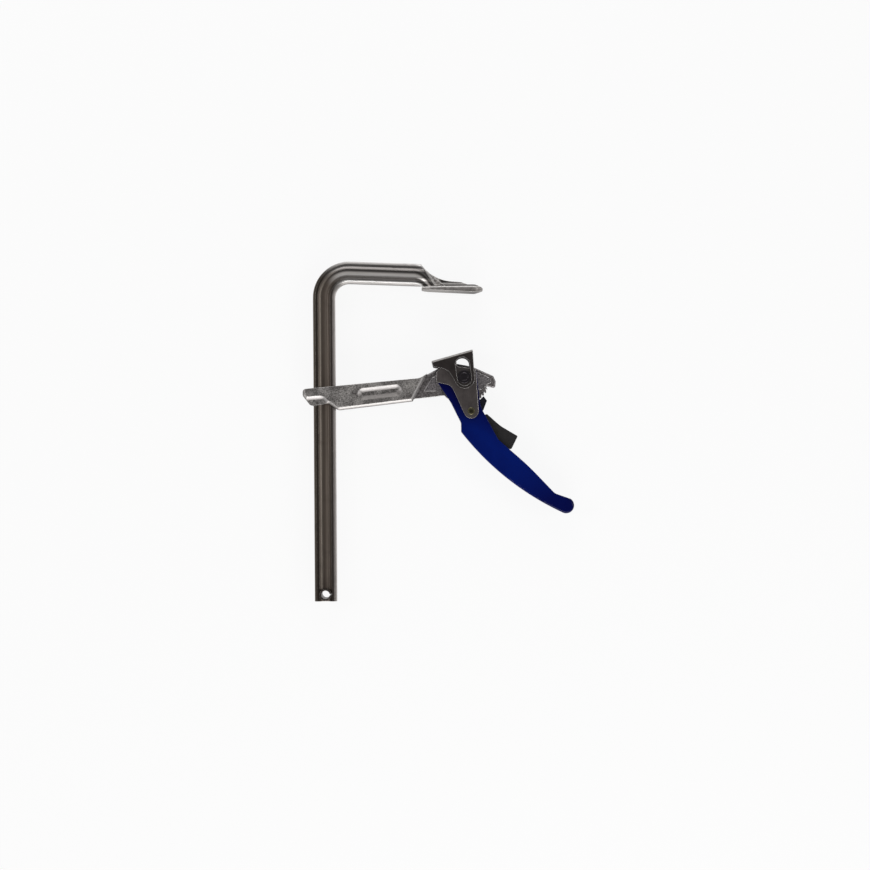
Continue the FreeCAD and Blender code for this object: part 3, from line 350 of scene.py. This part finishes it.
# Painted highlight: slopes turned towards the rail's foot, near the outer face, are painted bright.
to_foot = blasted.facing_y.rise(0.1, -0.2)
upper = abs(blasted.z).rise(0.0066, 0.0082)
lit = (to_foot * upper).choose(screen(128, 124, 122), screen(212, 208, 206))
grey = (slanting * 0.85).choose(grey, lit)
blade = (blasted.x - BLADE_X).rise(0.0, 0.002) * abs(blasted.z).rise(BLADE_HALF + 0.0004, BLADE_HALF)
sunk = abs(blasted.z).rise(WEB_HALF + 0.0004, WEB_HALF)
steel = sunk.choose(screen(124, 119, 119), screen(142, 137, 139))
steel = speckle.rise(0.38, 0.62).shade(steel, 0.5, 1.45)
grey = blade.choose(grey, steel)
# Painted shade: walls turned sideways are painted darker.
grey = (upright_face.rise(0.45, 0.2) * 0.8).choose(grey, screen(86, 82, 80))
# Edges painted bright: partly wear, partly painted highlight.
rubbed_and_highlit_edges = blasted.edges(0.0007)
grey = (rubbed_and_highlit_edges * (0.5 + 0.4 * blade)).choose(grey, screen(232, 229, 227))
skin = speckle * 0.6 + dents.rise(0.0, 0.5) * 0.5
arm_finish = blasted.end(grey, 0.8, 0.42 + 0.12 * mottle - 0.1 * rubbed_and_highlit_edges, skin, 0.00009, 0.0008)
fit(softened("sliding_arm", "forged_arm"), "sliding_arm", "arm_body", arm_finish)

# Lever. One sheet folded into a channel, degreased and coated in a deep blue powder with a faint orange skin.
# The blue is painted lighter at the waist below the cam plates and on the side away from the trigger, and
# darker towards its ends and the trigger's side, as painted light and shade with a random cloud in it. Cut
# and folded edges are painted paler, partly as thinned coat and partly as painted highlight, with scuffs to
# bare grey.

ACROSS_X, ACROSS_Y = 0.61, 0.79
TIP_X, TIP_Y = 0.57, -0.82
coat = Finish("blue_powder_coat")
flow = coat.grain(0.0026, 2.0, 0.5)
cloud = coat.grain(0.03, 3.0, 0.5)
lever_low, lever_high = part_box("lever")
lever_middle = (lever_low + lever_high) / 2
to_trigger = ACROSS_X * (coat.x - lever_middle.x) + ACROSS_Y * (coat.y - lever_middle.y)
to_tip = TIP_X * (coat.x - lever_low.x) + TIP_Y * (coat.y - lever_high.y)
waist = to_tip.rise(0.035, 0.075) * to_tip.rise(0.19, 0.11)
# Painted light and shade: lighter at the waist and away from the trigger's side, darker towards the ends and
# that side.
painted_blue_shading = (to_trigger.rise(0.022, -0.012) * 0.7 + 0.3 * cloud.rise(0.35, 0.65)) * (0.25 + 0.75 * waist)
blue = painted_blue_shading.choose(screen(0, 0, 60), screen(0, 24, 104))
# Paler edges: partly thinned coat, partly painted highlight.
thin_coat_and_highlight = coat.edges(0.0010)
scuffs = coat.grain(0.004, 6.0, 0.75).rise(0.56, 0.68)
blue = (thin_coat_and_highlight * 0.4).choose(blue, screen(62, 72, 140))
blue = (thin_coat_and_highlight * scuffs * 0.8).choose(blue, screen(150, 150, 156))
coat_finish = coat.end(
    blue, 0.0, 0.26 + 0.1 * flow + 0.2 * thin_coat_and_highlight * scuffs, flow, 0.00004,
    Specular_IOR_Level=0.06, Coat_Weight=0.14, Coat_Roughness=0.05)
fit(softened("lever", "blue_lever", 0.0003, 50), "lever", "lever_body", coat_finish)

# Cam plates. Two stampings of oiled, hardened sheet riveted to the lever's cheeks. The press left their faces
# smooth. Their edges are painted bright, partly as bright sheared metal and partly as painted highlight.

stamped = Finish("stamped_cam_steel")
smear = stamped.grain(0.009, 4.0, 0.6)
scratches = stamped.grain(0.0006, 3.0, 0.6, None, (1.0, 0.06, 1.0))
brown = smear.choose(screen(88, 82, 81), screen(124, 117, 115))
brown = scratches.shade(brown, 0.7, 1.3)
# Edges painted bright: partly sheared metal, partly painted highlight.
sheared_and_highlit_edges = stamped.edges(0.0012)
brown = (sheared_and_highlit_edges * 0.9).choose(brown, screen(232, 228, 224))
cam_finish = stamped.end(brown, 0.85, 0.3 + 0.15 * smear, scratches, 0.00003)
for side in ("front", "rear"):
    plate = f"cam_plate_{side}"
    fit(softened(plate, f"{side}_cam", 0.0003), plate, "lever_body", cam_finish)

# Cam rivet. A semi-tubular rivet, olive from its plating, closed over both cam plates. Each end is a low dome
# with a cup in it; the cup is painted dark as painted shade. Its edges are painted brighter, partly as wear
# where it was set and partly as painted highlight.


def picked(piece, wanted):
    """In edit mode, select only the faces of a piece that wanted() accepts."""
    bpy.ops.mesh.select_mode(type="FACE")
    bpy.ops.mesh.select_all(action="DESELECT")
    shape = bmesh.from_edit_mesh(piece.data)
    for face in shape.faces:
        face.select_set(wanted(face))
    bmesh.update_edit_mesh(piece.data)


def turned_bar(name, centre, radius, low, high, ends):
    """A round bar turned on a lathe. Its low and high ends are lists of steps (radius, height) outwards."""
    bpy.ops.object.select_all(action="DESELECT")
    bpy.ops.mesh.primitive_cylinder_add(
        vertices=72, radius=radius, depth=high - low, location=(centre.x, centre.y, (low + high) / 2))
    piece = bpy.context.object
    piece.name = name
    bpy.ops.object.transform_apply(location=True, rotation=True, scale=True)
    bpy.ops.object.mode_set(mode="EDIT")
    for way, at, steps in ((-1, low, ends[0]), (1, high, ends[1])):
        picked(piece, lambda face: face.normal.z * way > 0.9)
        now = radius
        for wide, height in steps:
            bpy.ops.mesh.extrude_region_move(TRANSFORM_OT_translate={"value": (0, 0, height - at)})
            bpy.ops.transform.resize(
                value=(wide / now, wide / now, 1), center_override=(centre.x, centre.y, height))
            now, at = wide, height
    bpy.ops.mesh.select_all(action="SELECT")
    bpy.ops.mesh.normals_make_consistent(inside=False)
    bpy.ops.object.mode_set(mode="OBJECT")
    bpy.ops.object.shade_smooth_by_angle(angle=math.radians(24))
    return piece


def mirrored(steps):
    return [(wide, -height) for wide, height in steps]


def from_axis(finish, centre):
    """Distance from an upright line through centre."""
    from_x = finish.x - centre.x
    from_y = finish.y - centre.y
    return (from_x * from_x + from_y * from_y) ** 0.5


rivet_low, rivet_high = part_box("cam_rivet")
rivet_at = (rivet_low + rivet_high) / 2
cam_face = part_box("cam_plate_front")[1].z
RIVET_SHANK = 0.0028
crest = rivet_high.z
dome = [(0.0037, cam_face), (0.0036, cam_face + 0.0005), (0.0031, crest - 0.0001), (0.0026, crest),
        (0.0021, crest - 0.0001), (0.0018, crest - 0.0007), (0.0002, crest - 0.0009)]
plated = Finish("olive_plating")
patch = plated.grain(0.0016)
olive = patch.choose(screen(78, 74, 54), screen(118, 113, 86))
# Painted shade: the cup in each end is painted dark.
olive = from_axis(plated, rivet_at).rise(0.0024, 0.0018).choose(olive, screen(60, 57, 40))
# Edges painted brighter: partly wear, partly painted highlight.
olive = (plated.edges(0.0005) * 0.35).choose(olive, screen(190, 187, 176))
rivet_finish = plated.end(olive, 0.85, 0.3 + 0.15 * patch, patch, 0.00004)
fit(turned_bar("cupped_rivet", rivet_at, RIVET_SHANK, -cam_face, cam_face, (mirrored(dome), dome)),
    "cam_rivet", "lever_body", rivet_finish)

# Main pin and its collar. Turned from bar and blacked. Fine rings from the lathe stay on the head, round a
# shallow recess. Its edges are painted lighter, partly as rubbing by the shoe's slot and partly as painted
# highlight. The collar is a washer riveted on behind.

pin_low, pin_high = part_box("main_pin")
pin_at = (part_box("pin_collar")[0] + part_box("pin_collar")[1]) / 2
PIN_SHANK = 0.005
PIN_HEAD = 0.0066
RING_RATE = 12000
under_head = cam_face + 0.00015
top = pin_high.z
head = [(PIN_HEAD, under_head), (PIN_HEAD, top - 0.0005), (0.0061, top), (0.0040, top),
        (0.0036, top - 0.0003), (0.0001, top - 0.0004)]
tail = [(0.0046, pin_low.z), (0.0001, pin_low.z)]
turned = Finish("blacked_turning")
rings = turned.wire.node("Math", {"operation": "SINE"}, {0: from_axis(turned, pin_at) * RING_RATE})
black = turned.grain(0.002).choose(screen(42, 39, 44), screen(62, 58, 62))
black = rings.shade(black, 0.9, 1.2)
# Edges painted lighter: partly rubbing, partly painted highlight.
black = (turned.edges(0.0006) * 0.6).choose(black, screen(122, 118, 120))
pin_finish = turned.end(black, 0.85, 0.34 + 0.04 * rings, rings, 0.00001)
fit(turned_bar("turned_main_pin", pin_at, PIN_SHANK, pin_low.z + 0.0004, under_head, (tail, head)),
    "main_pin", "pin_body", pin_finish)
fit(softened("pin_collar", "riveted_collar", 0.0004), "pin_collar", "pin_body", pin_finish)

# Pawl. A small investment casting, case hardened black, that drops into the blade's teeth.

hardened = Finish("case_hardened_casting")
cast = hardened.grain(0.0012)
dark = cast.choose(screen(24, 25, 34), screen(42, 43, 54))
# Edges painted lighter: partly wear, partly painted highlight.
dark = (hardened.edges(0.0006) * 0.4).choose(dark, screen(96, 97, 108))
fit(softened("pawl", "cast_pawl", 0.0003), "pawl", "pawl_body",
    hardened.end(dark, 0.7, 0.4 + 0.15 * cast, cast, 0.00006))

# Torsion spring. Two turns of bright music wire wound round the pawl's hub, in a recess of its face. Only its
# coil is modelled here, as a tube with open ends.

COIL = 0.00445
WIRE = 0.0004
PITCH = 0.00085
TURNS = 2
coil_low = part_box("pawl_spring")[0].z + WIRE
bpy.ops.object.select_all(action="DESELECT")
bpy.ops.mesh.primitive_circle_add(
    vertices=12, radius=WIRE, fill_type="NGON", location=(COIL, 0, coil_low), rotation=(math.pi / 2, 0, 0))
wound = bpy.context.object
wound.name = "wound_spring"
bpy.ops.object.transform_apply(location=True, rotation=True, scale=True)
screw = wound.modifiers.new("turns", "SCREW")
screw.angle = -2 * math.pi * TURNS
screw.screw_offset = PITCH * TURNS
screw.steps = screw.render_steps = 96
screw.use_merge_vertices = False
bpy.ops.object.modifier_apply(modifier="turns")
bpy.ops.object.mode_set(mode="EDIT")
bpy.ops.mesh.select_all(action="SELECT")
bpy.ops.mesh.normals_make_consistent(inside=False)
bpy.ops.object.mode_set(mode="OBJECT")
wound.location = (rivet_at.x, rivet_at.y, 0)
bpy.ops.object.transform_apply(location=True, rotation=True, scale=True)
bpy.ops.object.shade_smooth_by_angle(angle=math.radians(40))
music = Finish("bright_wire")
scale = music.grain(0.0004)
steel = scale.choose(screen(150, 148, 146), screen(196, 194, 190))
fit(wound, "pawl_spring", "pawl_body",
    music.end(steel, 0.95, 0.22 + 0.1 * scale, scale, 0.00002))

# Release trigger. A folded cap of thin sheet over the pawl's tail, coated satin dark grey. Its edges are
# painted lighter, partly as rubbing and partly as painted highlight. A short plated pin joins it to the pawl.

satin = Finish("satin_grey_coat")
fine = satin.grain(0.0007, 2.0, 0.6)
thumb = satin.grain(0.006, 3.0, 0.6)
coal = thumb.choose(screen(30, 29, 30), screen(47, 45, 46))
# Edges painted lighter: partly rubbing, partly painted highlight.
coal = (satin.edges(0.0006) * 0.5).choose(coal, screen(96, 94, 94))
fit(softened("release_trigger", "folded_trigger", 0.00025), "release_trigger", "pawl_body",
    satin.end(coal, 0.1, 0.42 + 0.15 * thumb, fine, 0.00004, Specular_IOR_Level=0.3))
fit(softened("trigger_pin", "short_pin", 0.0002), "trigger_pin", "pawl_body", rivet_finish)

# Pressure shoe. Thick sheet folded into an inverted channel and blacked in oil. Its face was ground flat
# after the blacking. Its edges, the rims of its slotted ears among them, are painted bright, partly as
# rubbing on the cam plates and partly as painted highlight.

SHOE_LEAN = math.radians(15.4)
ground = Finish("blacked_shoe_steel")
oil = ground.grain(0.006, 4.0, 0.6)
grit = ground.grain(0.0005, 3.0, 0.7)
soot = oil.choose(screen(54, 49, 48), screen(78, 72, 70))
soot = grit.shade(soot, 0.8, 1.2)
ground_face = (ground.facing_y * math.cos(SHOE_LEAN) - ground.facing_x * math.sin(SHOE_LEAN)).rise(0.3, 0.7)
polished = ground.grain(0.0007, 3.0, 0.6, None, (0.08, 0.3, 1.0))
bright = polished.choose(screen(128, 125, 123), screen(176, 173, 170))
soot = ground_face.choose(soot, bright)
# Edges painted bright: partly rubbing, partly painted highlight.
rim = ground.edges(0.0013)
soot = (rim * 0.9).choose(soot, screen(232, 230, 228))
fit(softened("pressure_shoe", "folded_shoe", 0.0004), "pressure_shoe", "shoe_body",
    ground.end(soot, 0.85, 0.34 + 0.16 * oil, grit, 0.00005))

# Studio. The clamp lies on a plain white table, under two long lamps low at the head and foot of the rail and
# two soft ones at its sides. The camera looks straight down, as the photograph does.

PHOTO = 870
PIXEL = 0.001
CAMERA_HEIGHT = 1.6
CAMERA_TURN = math.atan(-0.0068)
TABLE_SIDE = 12
TABLE_GAP = 0.0002
middle = Vector((-0.01797, -0.14298, 0))
table_z = cad_box[0][2]

bpy.ops.object.select_all(action="DESELECT")
bpy.ops.mesh.primitive_plane_add(size=TABLE_SIDE, location=(0, 0, table_z - TABLE_GAP))
table = bpy.context.object
table.name = "table"
table_finish = Finish("white_table")
seen = table_finish.wire.node("LightPath", out="Is Camera Ray")
reflected = table_finish.wire.node("LightPath", out="Is Glossy Ray")
through = table_finish.wire.node("LightPath", out="Is Transmission Ray")
plain = seen + reflected + through
matt = table_finish.wire.node("BsdfDiffuse", None, {"Color": (0.86, 0.86, 0.86, 1)})
glow = table_finish.wire.node("Emission", None, {"Color": (1, 1, 1, 1), "Strength": 1.0})
table_finish.close(table_finish.wire.node("MixShader", None, {0: plain * 0.9, 1: matt, 2: glow}))
table.data.materials.append(table_finish.material)

world = bpy.data.worlds.new("studio")
bpy.context.scene.world = world
world.use_nodes = True
world.node_tree.nodes["Background"].inputs["Color"].default_value = (1, 1, 1, 1)
world.node_tree.nodes["Background"].inputs["Strength"].default_value = 0.2


def lamp(name, place, width, depth, watts):
    """A soft rectangular lamp that looks at the clamp's middle."""
    data = bpy.data.lights.new(name, "AREA")
    data.shape = "RECTANGLE"
    data.size = width
    data.size_y = depth
    data.energy = watts
    thing = bpy.data.objects.new(name, data)
    thing.location = Vector(place) + middle
    thing.rotation_euler = (-Vector(place)).to_track_quat("-Z", "Y").to_euler()
    bpy.context.scene.collection.objects.link(thing)


lamp("foot", (0.1, -1.5, 0.57), 1.6, 1.1, 20)
lamp("head", (-0.1, 1.5, 0.57), 1.6, 1.1, 11)
lamp("left", (-1.5, 0.3, 1.1), 0.8, 0.8, 7)
lamp("right", (1.5, 0.1, 1.1), 0.8, 0.8, 7)

eye = bpy.data.cameras.new("camera")
eye.sensor_fit = "HORIZONTAL"
eye.angle = 2 * math.atan(PHOTO * PIXEL / 2 / CAMERA_HEIGHT)
eye.clip_end = 50
camera = bpy.data.objects.new("camera", eye)
camera.location = middle + Vector((0, 0, CAMERA_HEIGHT))
camera.rotation_euler = (0, 0, CAMERA_TURN)
bpy.context.scene.collection.objects.link(camera)
bpy.context.scene.camera = camera
bpy.context.scene.view_settings.view_transform = "Standard"
